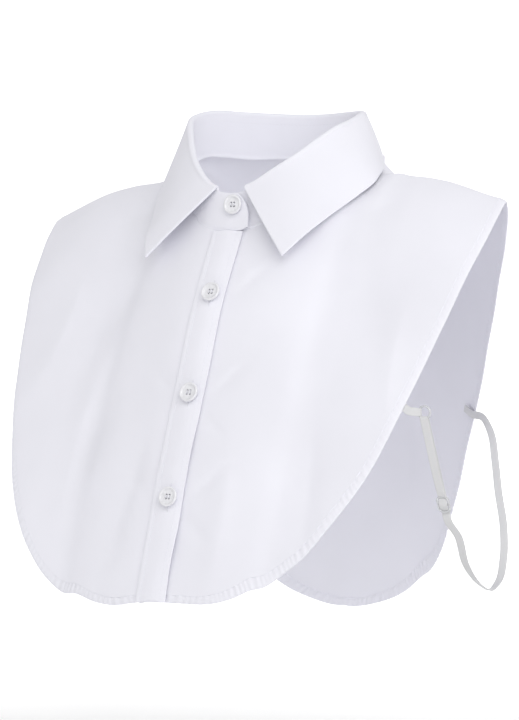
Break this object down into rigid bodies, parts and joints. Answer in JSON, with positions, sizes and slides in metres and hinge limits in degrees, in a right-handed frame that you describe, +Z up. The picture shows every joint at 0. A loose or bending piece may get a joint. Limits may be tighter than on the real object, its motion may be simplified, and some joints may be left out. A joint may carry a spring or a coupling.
{
  "type": "detachable shirt collar",
  "caption": "False half shirt worn under a jumper: turned-down collar on a stand, buttoned front, open sides and elastic side straps.",
  "frame": {"origin": "centre of the neck opening, level with the side of the neck, where the shirt rests on the wearer's shoulders", "axes": "+Z up, the wearer faces -Y, and the wearer's left is +X"},
  "size_m": [0.3504, 0.2466, 0.3432],
  "materials": {
    "cotton": "plain woven, matte",
    "elastic": "satin woven elastic",
    "button": "pearl",
    "clear": "clear"
  },
  "bodies": {
    "root": {"front_left": "cotton", "front_right": "cotton", "placket": "cotton", "back": "cotton", "collar_stand": "cotton", "collar_leaf": "cotton", "button_1": "button", "button_2": "button", "button_3": "button", "button_4": "button", "strap_tab_left": "elastic", "strap_doubled_left": "elastic", "strap_loop_left": "elastic", "strap_ring_left": "clear", "strap_slider_left": "clear", "strap_tab_right": "elastic", "strap_doubled_right": "elastic", "strap_loop_right": "elastic", "strap_ring_right": "clear", "strap_slider_right": "clear"}
  },
  "joints": []
}
